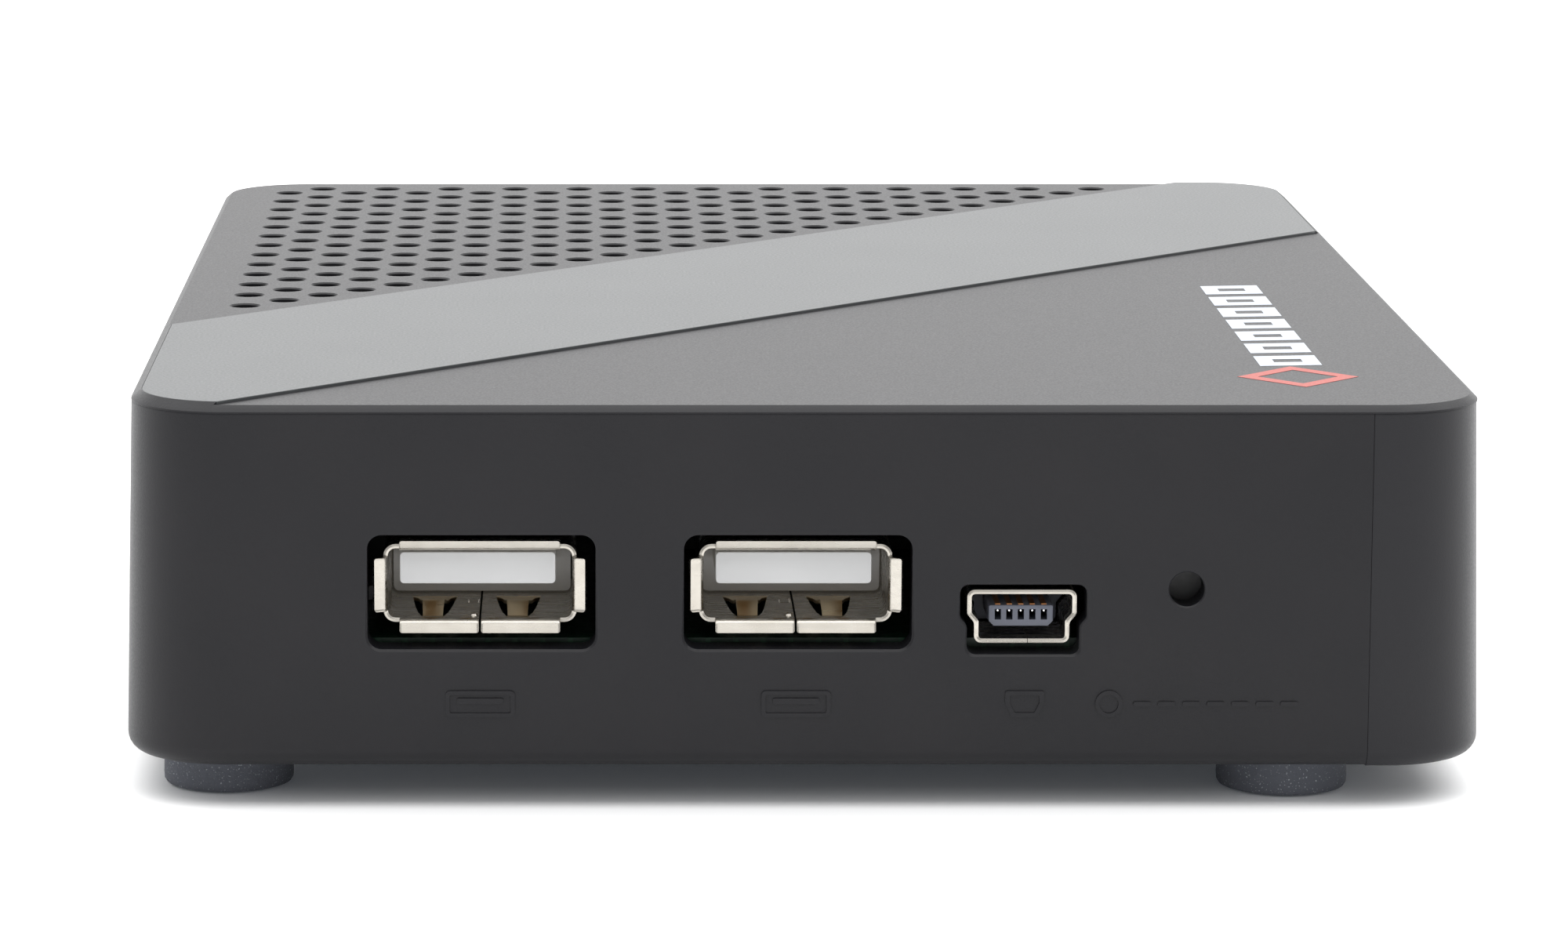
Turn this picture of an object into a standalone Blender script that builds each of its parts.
"""A compact recorder box: a black plastic tray with a perforated cover, a wrap-round front panel,
sockets on one side and at the back, and the circuit board, display board and switch inside.

+X is the front (the panel), -X the back (cable sockets), -Y the side with the data sockets, +Z up.
The origin is on the surface that the feet stand on, under the middle of the box.
Lengths are in millimetres, and make() turns them into metres.
"""

import math

import bmesh
import bpy

MM = 0.001

# The case.
CASE_WIDTH = 95.2
CASE_DEPTH = 124.0
CASE_BOTTOM = 2.8
COVER_TOP = 28.2
DRAFT = math.tan(math.radians(1.2))
CORNER_RADIUS = 7.0
CORNER_STEPS = 6
BOTTOM_FILLET = 1.3
WALL = 2.2
FLOOR_TOP = CASE_BOTTOM + 1.8
PARTING_HEIGHT = COVER_TOP - 0.55
PARTING_GAP = 0.1
COVER_CHAMFER = (0.9, 0.4)
COVER_THICKNESS = 1.8
SEAM_X = 39.0
PANEL_LEAN = 0.17
PANEL_DROP = 0.08
CONTACT_GAP = 0.12

# The raised band across the cover, between two parallel lines y = BAND_SLOPE * x + offset.
BAND_SLOPE = 1.016
BAND_NEAR = -19.3
BAND_FAR = 22.2
BAND_RISE = 0.3
BAND_SUNK = 0.5
BAND_INSET = 1.2

# Round vents in staggered columns behind the band.
VENT_PITCH = 2.86
VENT_RADIUS = 1.1
VENT_FIRST_X = -41.45
VENT_FIRST_Y = -14.0
VENT_LAST_Y = 58.2
VENT_COLUMNS = 28
VENT_BAND_MARGIN = 2.2

# Feet and fasteners.
FOOT_PLACES = {
    "front_socket_side": (34.0, -54.3),
    "front_far_side": (34.0, 54.3),
    "rear_socket_side": (-40.6, -53.3),
    "rear_far_side": (-40.6, 53.3),
}
FOOT_RADIUS = 4.6
FOOT_RECESS = 0.5
CASE_SCREW_PLACES = [(34.2, -41.0), (34.2, 41.0), (-41.1, -41.0), (-41.1, 41.0)]
BOARD_SCREW_PLACES = [(25.0, -34.0), (25.0, 36.0), (-32.0, -44.0), (-32.0, 44.0)]
PILLAR_TOP = 12.0
SCREW_SEAT = 5.6

# Boards.
BOARD_TOP = 11.4
BOARD_THICKNESS = 1.6
BOARD_BOX = (-44.6, -58.9, 36.2, 58.0)
FRONT_BOARD_X = 37.0
FRONT_BOARD_THICKNESS = 1.2

# Sockets on the -Y side.
DATA_PORT_XS = (-22.5, -0.6)
DATA_PORT_Z = 15.75
DATA_PORT_SIZE = (13.3, 5.5)
DATA_PORT_CUTOUT = (15.8, 8.05)
DATA_PORT_CUTOUT_Z = 15.18
SOCKET_MOUTH_Y = -61.2
SHELL_SHEET = 0.3
MINI_PORT_X = 15.0
MINI_PORT_TOP = 15.4
MINI_PORT_WIDTHS = (7.58, 6.6)
MINI_PORT_HEIGHT = 3.75
MINI_MARGIN = (0.6, 0.32, 0.75)
RECOVERY_X = 26.3
RECOVERY_Z = 15.4
PINHOLE_RADIUS = 1.22
BUTTON_RADIUS = 1.7

# Sockets on the -X side.
POWER_JACK_Y = -28.0
AV_JACK_Y = -11.5
VIDEO_PORT_Y = 5.0
NETWORK_JACK_Y = 25.0
REAR_MOUTH_X = -46.9
REAR_BODY_X = -44.7

# Base colour, roughness and metallic value.
LOOKS = {
    "case_black": ((0.020, 0.020, 0.022), 0.45, 0.0),
    "panel_black": ((0.018, 0.018, 0.020), 0.30, 0.0),
    "trim_satin": ((0.10, 0.105, 0.11), 0.40, 0.0),
    "foot_foam": ((0.045, 0.050, 0.060), 0.90, 0.0),
    "screw_steel": ((0.45, 0.45, 0.46), 0.35, 1.0),
    "nickel_shell": ((0.72, 0.68, 0.61), 0.28, 1.0),
    "socket_white": ((0.80, 0.80, 0.79), 0.45, 0.0),
    "socket_blue": ((0.14, 0.15, 0.21), 0.50, 0.0),
    "socket_black": ((0.018, 0.018, 0.018), 0.50, 0.0),
    "contact_gold": ((0.80, 0.56, 0.25), 0.30, 1.0),
    "board_green": ((0.010, 0.060, 0.028), 0.45, 0.0),
    "chip_black": ((0.025, 0.025, 0.027), 0.60, 0.0),
    "heatsink_aluminium": ((0.55, 0.56, 0.58), 0.40, 1.0),
    "thermal_pad": ((0.30, 0.42, 0.55), 0.80, 0.0),
    "can_aluminium": ((0.62, 0.63, 0.65), 0.30, 1.0),
    "ferrite_grey": ((0.07, 0.07, 0.075), 0.75, 0.0),
    "display_dark": ((0.035, 0.012, 0.012), 0.25, 0.0),
    "ribbon_white": ((0.72, 0.72, 0.70), 0.55, 0.0),
    "indicator_clear": ((0.55, 0.60, 0.62), 0.15, 0.0),
    "button_black": ((0.022, 0.022, 0.024), 0.50, 0.0),
    "helper": ((0.8, 0.2, 0.2), 0.5, 0.0),
}


# Outlines, solids and Booleans.


def clear_scene():
    for obj in list(bpy.data.objects):
        bpy.data.objects.remove(obj)


def material(look):
    found = bpy.data.materials.get(look)
    if found:
        return found
    colour, roughness, metallic = LOOKS[look]
    made = bpy.data.materials.new(look)
    made.use_nodes = True
    shader = made.node_tree.nodes["Principled BSDF"]
    shader.inputs["Base Color"].default_value = (*colour, 1.0)
    shader.inputs["Roughness"].default_value = roughness
    shader.inputs["Metallic"].default_value = metallic
    made.diffuse_color = (*colour, 1.0)
    return made


def make(name, bm, look, at=(0.0, 0.0, 0.0)):
    """A named object in metres from a bmesh in millimetres, placed at a point in millimetres."""
    bmesh.ops.recalc_face_normals(bm, faces=bm.faces)
    bmesh.ops.scale(bm, vec=(MM, MM, MM), verts=bm.verts)
    mesh = bpy.data.meshes.new(name)
    bm.to_mesh(mesh)
    bm.free()
    mesh.materials.append(material(look))
    mesh.shade_smooth()
    mesh.set_sharp_from_angle(angle=math.radians(30))
    obj = bpy.data.objects.new(name, mesh)
    obj.location = [value * MM for value in at]
    bpy.context.scene.collection.objects.link(obj)
    return obj


def helper(name, bm):
    """A shape that only shapes another one."""
    obj = make(name, bm, "helper")
    obj.hide_render = True
    obj.display_type = "WIRE"
    return obj


def combine(obj, operation, shape):
    """Adds, cuts or keeps a shape by a Boolean modifier: the shape is a bmesh or a helper."""
    other = shape
    if not isinstance(shape, bpy.types.Object):
        other = helper(f"{obj.name}_helper_{len(obj.modifiers)}", shape)
    modifier = obj.modifiers.new(operation.title(), "BOOLEAN")
    modifier.operation = operation
    modifier.object = other
    return obj


def loft(rings, bm=None):
    """A closed solid through rings of equally many points, capped at both ends."""
    bm = bm or bmesh.new()
    loops = [[bm.verts.new(point) for point in ring] for ring in rings]
    for lower, upper in zip(loops, loops[1:]):
        for i, vert in enumerate(lower):
            j = (i + 1) % len(lower)
            bm.faces.new((vert, lower[j], upper[j], upper[i]))
    bm.faces.new(reversed(loops[0]))
    bm.faces.new(loops[-1])
    return bm


def placed(u, v, along, axis):
    """The point at (u, v) across an axis and at a distance along it."""
    return {"X": (along, u, v), "Y": (u, along, v), "Z": (u, v, along)}[axis]


def prism(outline, low, high, axis="Z", bm=None):
    return loft([[placed(u, v, end, axis) for u, v in outline] for end in (low, high)], bm)


def block(low, high, bm=None):
    return prism(rectangle(low[0], low[1], high[0], high[1]), low[2], high[2], "Z", bm)


def turned(profile, sides, centre=(0.0, 0.0), axis="Z", bm=None):
    """A solid of revolution from (radius, height) pairs: a profile that turns back inside makes a bore."""
    rings = [
        [placed(u, v, height, axis) for u, v in circle(radius, sides, centre)]
        for radius, height in profile
    ]
    return loft(rings, bm)


def rectangle(u0, v0, u1, v1):
    return [(u0, v0), (u1, v0), (u1, v1), (u0, v1)]


def circle(radius, sides, centre=(0.0, 0.0)):
    return [
        (
            centre[0] + radius * math.cos(math.tau * (i + 0.5) / sides),
            centre[1] + radius * math.sin(math.tau * (i + 0.5) / sides),
        )
        for i in range(sides)
    ]


def rounded(width, height, radius, steps=3, centre=(0.0, 0.0)):
    """A rectangle with round corners, anticlockwise from the middle of its right side."""
    points = []
    for corner, (side, up) in enumerate(((1, 1), (-1, 1), (-1, -1), (1, -1))):
        for step in range(steps + 1):
            angle = math.radians(90 * corner + 90 * step / steps)
            points.append(
                (
                    centre[0] + side * (width / 2 - radius) + radius * math.cos(angle),
                    centre[1] + up * (height / 2 - radius) + radius * math.sin(angle),
                )
            )
    return points


# The case.


def case_outline(z, inset=0.0):
    """Plan outline of the case at a height: the walls lean in towards the cover."""
    lean = (z - CASE_BOTTOM) * DRAFT + inset
    return rounded(CASE_WIDTH - 2 * lean, CASE_DEPTH - 2 * lean, CORNER_RADIUS - inset, CORNER_STEPS)


def case_ring(z, inset=0.0):
    return [(x, y, z) for x, y in case_outline(z, inset)]


def fillet_rings(bottom, radius, steps=3):
    """Rings that round the bottom edge of the case."""
    rings = []
    for step in range(steps + 1):
        angle = math.radians(90 * step / steps)
        inset = radius * (1 - math.sin(angle))
        rings.append(case_ring(bottom + radius * (1 - math.cos(angle)), inset))
    return rings


def inner_outline(clearance=0.0):
    """Upright inner face of the walls, moved in by a clearance."""
    return case_outline(PARTING_HEIGHT, WALL + clearance)


def front_region(clearance):
    """Everything outside the inner outline and in front of the seam, as a U in plan."""
    reach = CASE_DEPTH
    run = [point for point in inner_outline(clearance) if point[0] > SEAM_X]
    run.sort(key=lambda point: point[1])
    side = max(point[1] for point in inner_outline(clearance))
    return [
        (SEAM_X, -reach),
        (reach, -reach),
        (reach, reach),
        (SEAM_X, reach),
        (SEAM_X, side),
        *reversed(run),
        (SEAM_X, -side),
    ]


def mini_profile(grow_side=0.0, grow_top=0.0, grow_bottom=0.0):
    """Outline of the small socket: wide above, narrow below, with a slanted step between."""
    wide, narrow = (width / 2 + grow_side for width in MINI_PORT_WIDTHS)
    top = MINI_PORT_TOP + grow_top
    bottom = MINI_PORT_TOP - MINI_PORT_HEIGHT - grow_bottom
    step_top = MINI_PORT_TOP - 1.75 - grow_side * 0.4
    step_bottom = step_top - 0.55
    half = [
        (narrow - 0.35, bottom),
        (narrow, bottom + 0.35),
        (narrow, step_bottom),
        (wide, step_top),
        (wide, top - 0.4),
        (wide - 0.4, top),
    ]
    right = [(MINI_PORT_X + x, z) for x, z in half]
    left = [(MINI_PORT_X - x, z) for x, z in reversed(half)]
    return right + left


def socket_cutters():
    """Holes in the -Y wall for the data sockets, the small socket and the recovery pinhole."""
    near, far = -CASE_DEPTH / 2 - 1, -CASE_DEPTH / 2 + 5
    bm = bmesh.new()
    for x in DATA_PORT_XS:
        outline = rounded(*DATA_PORT_CUTOUT, 1.0, 3, (x, DATA_PORT_CUTOUT_Z))
        prism(outline, near, far, "Y", bm)
    prism(mini_profile(*MINI_MARGIN), near, far, "Y", bm)
    prism(circle(PINHOLE_RADIUS, 16, (RECOVERY_X, RECOVERY_Z)), near, far, "Y", bm)
    return bm


def rear_cutters():
    """Holes in the -X wall for the power, sound, video and network sockets."""
    near, far = -CASE_WIDTH / 2 - 1, -CASE_WIDTH / 2 + 5
    bm = bmesh.new()
    prism(circle(4.2, 20, (POWER_JACK_Y, 18.2)), near, far, "X", bm)
    prism(circle(3.3, 16, (AV_JACK_Y, 15.6)), near, far, "X", bm)
    prism(rounded(16.4, 7.0, 0.8, 2, (VIDEO_PORT_Y, 14.9)), near, far, "X", bm)
    prism(rounded(17.0, 14.6, 0.6, 2, (NETWORK_JACK_Y, 18.4)), near, far, "X", bm)
    return bm


def floor_cutters():
    """Foot recesses, screw holes from below, and slots that let air in under the board."""
    bm = bmesh.new()
    for place in FOOT_PLACES.values():
        prism(circle(FOOT_RADIUS + 0.2, 20, place), 0, CASE_BOTTOM + FOOT_RECESS, "Z", bm)
    for place in CASE_SCREW_PLACES:
        turned([(3.2, 0), (3.2, SCREW_SEAT), (1.65, SCREW_SEAT), (1.65, PILLAR_TOP + 1)], 14, place, "Z", bm)
    for place in BOARD_SCREW_PLACES:
        prism(circle(1.4, 12, place), FLOOR_TOP + 0.4, BOARD_TOP, "Z", bm)
    for row in (-1, 1):
        for column in range(5):
            centre = (-28.0 + 10.0 * column, row * 13.0)
            prism(rounded(4.6, 18.0, 2.2, 3, centre), 0, FLOOR_TOP + 1, "Z", bm)
    return bm


def floor_posts():
    """Screw pillars and board standoffs, sunk a little into the floor."""
    bm = bmesh.new()
    for place in CASE_SCREW_PLACES:
        prism(circle(4.2, 16, place), FLOOR_TOP - 0.6, PILLAR_TOP, "Z", bm)
    for place in BOARD_SCREW_PLACES:
        prism(circle(3.0, 14, place), FLOOR_TOP - 0.6, BOARD_TOP - BOARD_THICKNESS - CONTACT_GAP, "Z", bm)
    return bm


def make_bottom_case():
    rings = fillet_rings(CASE_BOTTOM, BOTTOM_FILLET) + [case_ring(PARTING_HEIGHT)]
    case = make("bottom_case", loft(rings), "case_black")
    combine(case, "DIFFERENCE", prism(inner_outline(), FLOOR_TOP, COVER_TOP + 5))
    combine(case, "DIFFERENCE", prism(front_region(CONTACT_GAP), 0, COVER_TOP + 5))
    combine(case, "UNION", floor_posts())
    combine(case, "DIFFERENCE", floor_cutters())
    combine(case, "DIFFERENCE", socket_cutters())
    combine(case, "DIFFERENCE", rear_cutters())


def make_front_panel():
    bottom = CASE_BOTTOM - PANEL_DROP
    rings = fillet_rings(bottom, BOTTOM_FILLET) + [case_ring(PARTING_HEIGHT, PANEL_LEAN)]
    panel = make("front_panel", loft(rings), "panel_black")
    combine(panel, "DIFFERENCE", prism(inner_outline(), 0, COVER_TOP + 5))
    behind = block((-CASE_WIDTH, -CASE_DEPTH, 0), (SEAM_X + CONTACT_GAP, CASE_DEPTH, COVER_TOP + 5))
    combine(panel, "DIFFERENCE", behind)


def band_region(clearance, low, high):
    """Slanted slab between the band's two edges, longer than the cover."""
    reach = CASE_WIDTH
    near, far = BAND_NEAR - clearance, BAND_FAR + clearance
    outline = [
        (-reach, -reach * BAND_SLOPE + near),
        (reach, reach * BAND_SLOPE + near),
        (reach, reach * BAND_SLOPE + far),
        (-reach, -reach * BAND_SLOPE + far),
    ]
    return prism(outline, low, high)


def vent_cutters():
    """Six-sided bores in staggered columns, kept behind the band's far edge."""
    bm = bmesh.new()
    for column in range(VENT_COLUMNS):
        x = VENT_FIRST_X + VENT_PITCH * column
        y = VENT_FIRST_Y + (VENT_PITCH if column % 2 else 0)
        while y < VENT_LAST_Y:
            if y > BAND_SLOPE * x + BAND_FAR + VENT_BAND_MARGIN * math.hypot(1, BAND_SLOPE):
                prism(circle(VENT_RADIUS, 6, (x, y)), COVER_TOP - 2.1, COVER_TOP + 1, "Z", bm)
            y += 2 * VENT_PITCH
    return bm


def cover_bosses():
    bm = bmesh.new()
    for place in CASE_SCREW_PLACES:
        prism(circle(3.3, 12, place), PILLAR_TOP + CONTACT_GAP, COVER_TOP - 1.0, "Z", bm)
    return bm


def cover_screw_bores():
    bm = bmesh.new()
    for place in CASE_SCREW_PLACES:
        prism(circle(1.6, 10, place), PILLAR_TOP - 1, 21.0, "Z", bm)
    return bm


def make_top_cover():
    inward, down = COVER_CHAMFER
    plug = WALL + PARTING_GAP
    rings = [
        case_ring(COVER_TOP - COVER_THICKNESS, plug),
        case_ring(PARTING_HEIGHT + PARTING_GAP, plug),
        case_ring(PARTING_HEIGHT + PARTING_GAP),
        case_ring(COVER_TOP - down),
        case_ring(COVER_TOP, inward),
    ]
    cover = make("top_cover", loft(rings), "case_black")
    combine(cover, "UNION", cover_bosses())
    combine(cover, "DIFFERENCE", cover_screw_bores())
    combine(cover, "DIFFERENCE", vent_cutters())
    pocket_outline = case_outline(COVER_TOP, BAND_INSET - PARTING_GAP)
    pocket = helper("band_pocket", prism(pocket_outline, COVER_TOP - BAND_SUNK, COVER_TOP + 1))
    combine(pocket, "INTERSECT", band_region(PARTING_GAP, 0, COVER_TOP + 5))
    combine(cover, "DIFFERENCE", pocket)


def make_trim_band():
    """The satin strip: it stands out of its pocket, inside the cover's chamfered rim."""
    top = COVER_TOP + BAND_RISE
    rings = [
        [(x, y, COVER_TOP - BAND_SUNK + PARTING_GAP) for x, y in case_outline(COVER_TOP, BAND_INSET)],
        [(x, y, top - 0.15) for x, y in case_outline(COVER_TOP, BAND_INSET)],
        [(x, y, top) for x, y in case_outline(COVER_TOP, BAND_INSET + 0.15)],
    ]
    band = make("top_trim_band", loft(rings), "trim_satin")
    combine(band, "INTERSECT", band_region(0.0, 0, COVER_TOP + 5))


def make_feet():
    top = CASE_BOTTOM + FOOT_RECESS - CONTACT_GAP
    profile = [(FOOT_RADIUS - 0.4, 0), (FOOT_RADIUS, 0.4), (FOOT_RADIUS, top)]
    for name, place in FOOT_PLACES.items():
        make(f"foot_{name}", turned(profile, 20), "foot_foam", (*place, 0))


def make_screws():
    """Four screws from below into the cover, and four that hold the board to its standoffs."""
    seat = SCREW_SEAT - CONTACT_GAP
    case_profile = [(2.1, 3.3), (2.8, 4.0), (2.8, seat), (1.45, seat), (1.45, 17.0), (0.8, 18.0)]
    for i, place in enumerate(CASE_SCREW_PLACES):
        make(f"case_screw_{i + 1}", turned(case_profile, 12), "screw_steel", (*place, 0))
    seat = BOARD_TOP + CONTACT_GAP
    board_profile = [(0.8, 5.6), (1.15, 6.2), (1.15, seat), (2.4, seat), (2.4, seat + 1.0), (1.7, seat + 1.6)]
    for i, place in enumerate(BOARD_SCREW_PLACES):
        make(f"board_screw_{i + 1}", turned(board_profile, 12), "screw_steel", (*place, 0))


# Sockets on the -Y side.


def tapered_tab(u0, u1, edge, rise, mouth, axis_up):
    """A flange plate: it starts on the tube at the given edge and leans outwards to the mouth."""
    inner, outer = edge, edge + rise
    sheet = SHELL_SHEET if rise > 0 else -SHELL_SHEET
    section = [
        (mouth + 0.9, inner - sheet),
        (mouth + 0.9, inner),
        (mouth + 0.15, outer),
        (mouth, outer),
        (mouth, outer - sheet),
        (mouth + 0.5, inner - sheet),
    ]
    if axis_up:
        return loft([[(u, y, z) for y, z in section] for u in (u0, u1)])
    return loft([[(x, y, u) for y, x in section] for u in (u0, u1)])


def make_data_port(number, x):
    """A shell of bent sheet with flared flanges, a white insulator with its tongue, and contacts."""
    width, height = DATA_PORT_SIZE
    z, mouth = DATA_PORT_Z, SOCKET_MOUTH_Y
    back = mouth + 14.0
    right, up = x + width / 2, z + height / 2
    left, down = x - width / 2, z - height / 2
    shell = make(
        f"data_port_{number}_shell",
        prism(rounded(width, height, 0.7, 2, (x, z)), mouth + 0.5, back, "Y"),
        "nickel_shell",
    )
    combine(shell, "UNION", tapered_tab(x - 5.55, x + 5.55, up, 0.65, mouth, True))
    combine(shell, "UNION", tapered_tab(x - 5.55, x + 5.55, down, -0.65, mouth, True))
    combine(shell, "UNION", tapered_tab(z - 1.9, z + 1.9, right, 0.7, mouth, False))
    combine(shell, "UNION", tapered_tab(z - 1.9, z + 1.9, left, -0.7, mouth, False))
    inside = rounded(width - 2 * SHELL_SHEET, height - 2 * SHELL_SHEET, 0.4, 2, (x, z))
    combine(shell, "DIFFERENCE", prism(inside, mouth - 1, back + 1, "Y"))
    combine(shell, "DIFFERENCE", block((x + 0.05, mouth - 1, down - 2), (x + 0.25, mouth + 0.8, z)))

    gap = SHELL_SHEET + CONTACT_GAP
    seat = prism(rounded(width - 2 * gap, height - 2 * gap, 0.3, 1, (x, z)), back - 4.5, back - 0.3, "Y")
    insulator = make(f"data_port_{number}_insulator", seat, "socket_white")
    tongue_low, tongue_high = z + 0.05, z + 1.85
    tongue = block((x - 5.5, mouth + 0.7, tongue_low), (x + 5.5, back - 4.0, tongue_high))
    combine(insulator, "UNION", tongue)
    contact_slots = bmesh.new()
    for place in (-3.5, -1.0, 1.0, 3.5):
        low = (x + place - 0.65, mouth + 1.8, tongue_low - 1)
        high = (x + place + 0.65, back - 4.9, tongue_low + 0.35)
        block(low, high, contact_slots)
    combine(insulator, "DIFFERENCE", contact_slots)

    contacts = make(
        f"data_port_{number}_contacts",
        block((x - 4.0, back - 4.5 - 1.6, z - 1.9), (x + 4.0, back - 4.5 - 0.2, z - 1.6)),
        "contact_gold",
    )
    blades = bmesh.new()
    for place in (-3.5, -1.0, 1.0, 3.5):
        section = [
            (back - 5.1, z - 1.9),
            (back - 5.1, tongue_low + 0.2),
            (mouth + 2.0, tongue_low + 0.2),
            (mouth + 2.0, tongue_low - 0.05),
            (back - 5.6, tongue_low - 0.05),
            (back - 5.6, z - 1.9),
        ]
        loft([[(x + place + side, y, height) for y, height in section] for side in (-0.5, 0.5)], blades)
    combine(contacts, "UNION", blades)


def make_mini_port():
    """The small five-pin socket: a stepped shell, a slotted tongue and its contacts."""
    mouth, back = SOCKET_MOUTH_Y + 0.1, SOCKET_MOUTH_Y + 9.0
    shell = make("mini_port_shell", prism(mini_profile(), mouth, back, "Y"), "nickel_shell")
    sheet = -SHELL_SHEET
    combine(shell, "DIFFERENCE", prism(mini_profile(sheet, sheet, sheet), mouth - 1, back + 1, "Y"))

    gap = -SHELL_SHEET - CONTACT_GAP
    seat = prism(mini_profile(gap, gap, gap), back - 2.5, back - 0.2, "Y")
    tongue = make("mini_port_tongue", seat, "socket_blue")
    low, high = 12.63, 14.17
    outline = [
        (MINI_PORT_X - 1.9, low),
        (MINI_PORT_X + 1.9, low),
        (MINI_PORT_X + 2.25, low + 0.35),
        (MINI_PORT_X + 2.25, high),
        (MINI_PORT_X - 2.25, high),
        (MINI_PORT_X - 2.25, low + 0.35),
    ]
    combine(tongue, "UNION", prism(outline, mouth + 0.9, back - 2.0, "Y"))
    slots = bmesh.new()
    for pin in range(-2, 3):
        x = MINI_PORT_X + 0.8 * pin
        block((x - 0.22, mouth, high - 0.95), (x + 0.22, mouth + 4.0, high - 0.3), slots)
    combine(tongue, "DIFFERENCE", slots)

    strips = block(
        (MINI_PORT_X - 1.8, back - 3.6, high + 0.12), (MINI_PORT_X + 1.8, back - 2.7, high + 0.3)
    )
    contacts = make("mini_port_contacts", strips, "contact_gold")
    blades = bmesh.new()
    for pin in range(-2, 3):
        x = MINI_PORT_X + 0.8 * pin
        block((x - 0.15, mouth + 1.6, high + 0.08), (x + 0.15, back - 3.0, high + 0.26), blades)
    combine(contacts, "UNION", blades)


def make_recovery_switch():
    """A small side-pushed switch behind the pinhole: base, sheet-metal frame and moving button."""
    x, z = RECOVERY_X, RECOVERY_Z
    front, back = -57.0, -53.5
    base = make(
        "recovery_switch_base",
        block((x - 3.0, front, BOARD_TOP + CONTACT_GAP), (x + 3.0, back, z + 3.0)),
        "socket_black",
    )
    combine(base, "DIFFERENCE", prism(circle(2.6, 16, (x, z)), front - 1, front + 1.9, "Y"))
    outer, inner, sheet = x + 3.4, x + 3.12, 0.25
    outline = [
        (2 * x - outer, back + 0.5),
        (2 * x - outer, front - CONTACT_GAP - sheet),
        (outer, front - CONTACT_GAP - sheet),
        (outer, back + 0.5),
        (inner, back + 0.5),
        (inner, front - CONTACT_GAP),
        (2 * x - inner, front - CONTACT_GAP),
        (2 * x - inner, back + 0.5),
    ]
    plate = prism(outline, BOARD_TOP + CONTACT_GAP, z + 3.1)
    frame = make("recovery_switch_frame", plate, "screw_steel")
    combine(frame, "DIFFERENCE", prism(circle(1.95, 16, (x, z)), front - 2, front + 1, "Y"))
    profile = [
        (BUTTON_RADIUS - 0.2, 0),
        (BUTTON_RADIUS, 0.2),
        (BUTTON_RADIUS, 2.05),
        (2.3, 2.05),
        (2.3, 2.8),
    ]
    make("recovery_button", turned(profile, 16, axis="Y"), "button_black", (x, -58.9, z))


# Sockets on the -X side.


def make_power_jack():
    z = 18.2
    low = (REAR_BODY_X, POWER_JACK_Y - 4.5, BOARD_TOP + CONTACT_GAP)
    body = block(low, (-30.0, POWER_JACK_Y + 4.5, 22.9))
    housing = make("power_jack_housing", body, "socket_black")
    combine(housing, "UNION", prism(circle(4.0, 20, (POWER_JACK_Y, z)), REAR_MOUTH_X, REAR_BODY_X + 1, "X"))
    combine(housing, "DIFFERENCE", prism(circle(3.15, 20, (POWER_JACK_Y, z)), REAR_MOUTH_X - 1, -34.5, "X"))
    pin = turned([(1.0, -44.5), (1.0, -34.7)], 14, (POWER_JACK_Y, z), "X")
    make("power_jack_pin", pin, "screw_steel")


def make_av_jack():
    z = 15.6
    body = block((REAR_BODY_X, AV_JACK_Y - 3.4, BOARD_TOP + CONTACT_GAP), (-31.5, AV_JACK_Y + 3.4, 18.8))
    housing = make("av_jack_housing", body, "socket_black")
    combine(housing, "UNION", prism(circle(3.0, 16, (AV_JACK_Y, z)), REAR_MOUTH_X, REAR_BODY_X + 1, "X"))
    bore = turned(
        [(2.5, REAR_MOUTH_X - 1), (2.5, REAR_MOUTH_X + 1.9), (1.85, REAR_MOUTH_X + 1.9), (1.85, -33.0)],
        16,
        (AV_JACK_Y, z),
        "X",
    )
    combine(housing, "DIFFERENCE", bore)
    ring_low, ring_high = REAR_MOUTH_X + 0.3, REAR_MOUTH_X + 1.75
    ring = make(
        "av_jack_ring",
        turned([(2.38, ring_low), (2.38, ring_high)], 16, (AV_JACK_Y, z), "X"),
        "nickel_shell",
    )
    combine(ring, "DIFFERENCE", prism(circle(1.85, 16, (AV_JACK_Y, z)), -50, -40, "X"))


def video_outline(inset=0.0):
    """Cross-section of the video socket: its lower corners are cut off."""
    half_top, half_bottom = 7.5 - inset, 5.9 - inset
    low, high = 12.1 + inset, 17.7 - inset
    return [
        (VIDEO_PORT_Y - half_bottom, low),
        (VIDEO_PORT_Y + half_bottom, low),
        (VIDEO_PORT_Y + half_top, low + 1.6 + inset / 2),
        (VIDEO_PORT_Y + half_top, high),
        (VIDEO_PORT_Y - half_top, high),
        (VIDEO_PORT_Y - half_top, low + 1.6 + inset / 2),
    ]


def make_video_port():
    front, back = REAR_MOUTH_X, -34.0
    shell = make("video_port_shell", prism(video_outline(), front, back, "X"), "nickel_shell")
    combine(shell, "DIFFERENCE", prism(video_outline(0.35), front - 1, back + 1, "X"))
    seat = prism(video_outline(0.35 + CONTACT_GAP), back - 3.0, back - 0.2, "X")
    tongue = make("video_port_tongue", seat, "socket_black")
    blade = block((front + 1.2, VIDEO_PORT_Y - 5.6, 14.6), (back - 2.5, VIDEO_PORT_Y + 5.6, 15.8))
    combine(tongue, "UNION", blade)


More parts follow.
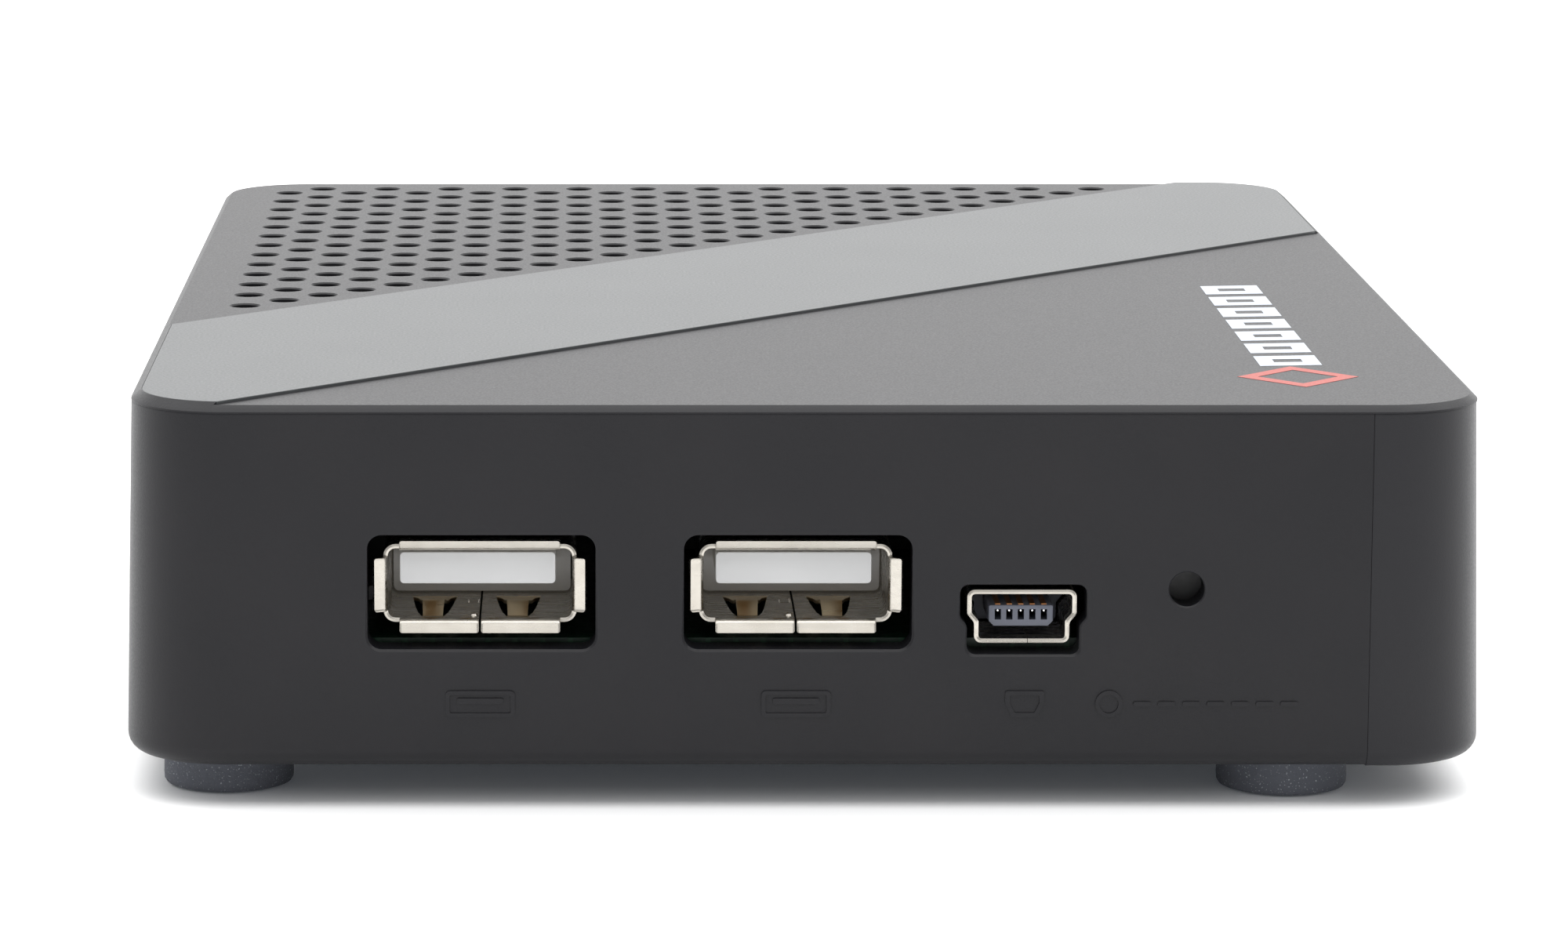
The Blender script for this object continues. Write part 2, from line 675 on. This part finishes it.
def make_network_jack():
    y, low, high = NETWORK_JACK_Y, BOARD_TOP + CONTACT_GAP, 25.1
    front, back = REAR_MOUTH_X, -29.5
    half = 8.0
    shell = make("network_jack_shell", block((front, y - half, low), (back, y + half, high)), "nickel_shell")
    inside = block((front - 1, y - half + 0.4, low + 0.4), (back - 0.4, y + half - 0.4, high - 0.4))
    combine(shell, "DIFFERENCE", inside)
    gap = 0.4 + CONTACT_GAP
    body = block((front + 0.3, y - half + gap, low + gap), (back - gap, y + half - gap, high - gap))
    insert = make("network_jack_insert", body, "socket_black")
    opening = [
        (y - 5.9, 14.4),
        (y - 3.1, 14.4),
        (y - 3.1, 13.0),
        (y + 3.1, 13.0),
        (y + 3.1, 14.4),
        (y + 5.9, 14.4),
        (y + 5.9, 22.6),
        (y - 5.9, 22.6),
    ]
    combine(insert, "DIFFERENCE", prism(opening, front - 1, front + 12.0, "X"))
    contacts = make(
        "network_jack_contacts",
        block((front + 10.6, y - 4.4, 22.05), (front + 11.6, y + 4.4, 22.45)),
        "contact_gold",
    )
    blades = bmesh.new()
    for pin in range(8):
        side = y + (pin - 3.5) * 1.02
        section = [
            (front + 2.0, 22.45),
            (front + 11.2, 22.45),
            (front + 11.2, 22.15),
            (front + 2.6, 22.15),
            (front + 8.6, 19.4),
            (front + 8.2, 19.2),
            (front + 1.8, 22.15),
        ]
        ends = (side - 0.2, side + 0.2)
        loft([[(x, end, height) for x, height in section] for end in ends], blades)
    combine(contacts, "UNION", blades)


# Boards and what they carry.


def make_main_board():
    x0, y0, x1, y1 = BOARD_BOX
    board = make(
        "main_board",
        block((x0, y0, BOARD_TOP - BOARD_THICKNESS), (x1, y1, BOARD_TOP)),
        "board_green",
    )
    holes = bmesh.new()
    for place in CASE_SCREW_PLACES:
        prism(circle(4.7, 16, place), 5, 15, "Z", holes)
    for place in BOARD_SCREW_PLACES:
        prism(circle(1.5, 12, place), 5, 15, "Z", holes)
    for x in (x0, x1):
        for y in (y0, y1):
            prism(circle(5.0, 4, (x, y)), 5, 15, "Z", holes)
    combine(board, "DIFFERENCE", holes)


def make_chip(name, centre, size, look="chip_black", standing=BOARD_TOP + CONTACT_GAP):
    """A flat package with bevelled upper edges."""
    width, depth, height = size
    low = rectangle(-width / 2, -depth / 2, width / 2, depth / 2)
    shrink = 1 - min(0.4, height / 4) / max(width, depth)
    rings = [
        [(x, y, 0) for x, y in low],
        [(x, y, height * 0.8) for x, y in low],
        [(x * shrink, y * shrink, height) for x, y in low],
    ]
    return make(name, loft(rings), look, (*centre, standing))


def make_heatsink(centre, low):
    """A base plate with straight fins, as one extruded comb."""
    size, base, height, fins, fin = 28.0, 2.0, 8.0, 8, 1.2
    pitch = (size - fin) / (fins - 1)
    section = [(-size / 2, 0), (size / 2, 0)]
    for i in reversed(range(fins)):
        left = -size / 2 + i * pitch
        section += [(left + fin, height), (left, height)]
        if i:
            section += [(left, base), (left - pitch + fin, base)]
    make("heatsink", prism(section, -size / 2, size / 2, "Y"), "heatsink_aluminium", (*centre, low))


def make_capacitor(name, centre, radius, height):
    """An electrolytic can with its rolled-in neck near the base."""
    profile = [
        (radius - 0.3, 0),
        (radius, 0.4),
        (radius, 1.4),
        (radius - 0.4, 1.8),
        (radius, 2.2),
        (radius, height - 0.4),
        (radius - 0.4, height),
    ]
    make(name, turned(profile, 16), "can_aluminium", (*centre, BOARD_TOP + CONTACT_GAP))


def make_board_parts():
    on_board = BOARD_TOP + CONTACT_GAP
    processor = (-2.0, 2.0)
    make_chip("processor", processor, (19.0, 19.0, 1.6))
    pad_low = on_board + 1.6 + CONTACT_GAP
    make_chip("thermal_pad", processor, (16.0, 16.0, 0.6), "thermal_pad", pad_low)
    make_heatsink(processor, pad_low + 0.6 + CONTACT_GAP)
    make_chip("memory_chip_1", (-8.0, -22.0), (11.0, 9.0, 1.0))
    make_chip("memory_chip_2", (6.0, -22.0), (11.0, 9.0, 1.0))
    make_chip("flash_chip", (18.0, -9.0), (12.0, 18.0, 1.0))
    make_chip("network_transformer", (-18.0, 28.0), (9.0, 15.0, 5.4))
    make_chip("power_coil", (-20.0, -31.0), (7.0, 7.0, 3.6), "ferrite_grey")
    make_capacitor("power_capacitor_1", (-22.0, -14.0), 4.0, 10.5)
    make_capacitor("power_capacitor_2", (-22.0, -3.0), 3.15, 7.7)
    make_capacitor("power_capacitor_3", (12.0, 38.0), 3.15, 7.7)
    crystal = prism(rounded(11.0, 4.6, 2.2, 4), 0, 3.5)
    make("clock_crystal", crystal, "can_aluminium", (18.0, 10.0, on_board))


def make_front_board():
    """The upright board behind the panel, with the display, remote receiver and indicator lamp."""
    x0, x1 = FRONT_BOARD_X, FRONT_BOARD_X + FRONT_BOARD_THICKNESS
    make("front_board", block((x0, -34.0, 5.2), (x1, 34.0, 25.6)), "board_green")
    face = x1 + CONTACT_GAP
    make("number_display", block((face, -15.0, 10.0), (face + 5.2, 15.0, 20.0)), "display_dark")
    receiver = make("remote_receiver", block((face, 21.0, 12.0), (face + 3.0, 27.0, 19.0)), "display_dark")
    combine(receiver, "UNION", prism(circle(2.4, 14, (24.0, 16.0)), face + 2.5, face + 4.6, "X"))
    lamp = [
        (1.9, face),
        (1.9, face + 1.0),
        (1.5, face + 1.0),
        (1.5, face + 3.4),
        (1.2, face + 4.3),
        (0.6, face + 4.8),
    ]
    make("indicator_lamp", turned(lamp, 14, (-24.0, 15.0), "X"), "indicator_clear")


def make_ribbon():
    """A flat cable in an arch between the two boards, and the connector at each end."""
    base = BOARD_TOP + CONTACT_GAP
    make("ribbon_connector_main", block((27.0, -5.0, base), (30.0, 15.0, base + 3.0)), "socket_white")
    x = FRONT_BOARD_X - CONTACT_GAP
    make("ribbon_connector_front", block((x - 3.0, -5.0, 20.5), (x, 15.0, 23.5)), "socket_white")
    low_end, high_end = base + 3.0 + CONTACT_GAP, 22.0
    start, stop = 28.5, x - 3.0 - CONTACT_GAP
    sheet = 0.3
    outer, inner = [], []
    for step in range(9):
        angle = math.radians(90 * step / 8)
        for run, offset in ((outer, 0.0), (inner, sheet)):
            across = stop - start - offset
            rise = high_end - low_end - offset
            run.append((stop - across * math.cos(angle), low_end + rise * math.sin(angle)))
    section = outer + inner[::-1]
    ribbon = loft([[(u, y, v) for u, v in section] for y in (-4.0, 14.0)])
    make("display_ribbon", ribbon, "ribbon_white")


def main():
    clear_scene()
    make_bottom_case()
    make_front_panel()
    make_top_cover()
    make_trim_band()
    make_feet()
    make_screws()
    for number, x in enumerate(DATA_PORT_XS, 1):
        make_data_port(number, x)
    make_mini_port()
    make_recovery_switch()
    make_power_jack()
    make_av_jack()
    make_video_port()
    make_network_jack()
    make_main_board()
    make_board_parts()
    make_front_board()
    make_ribbon()


main()
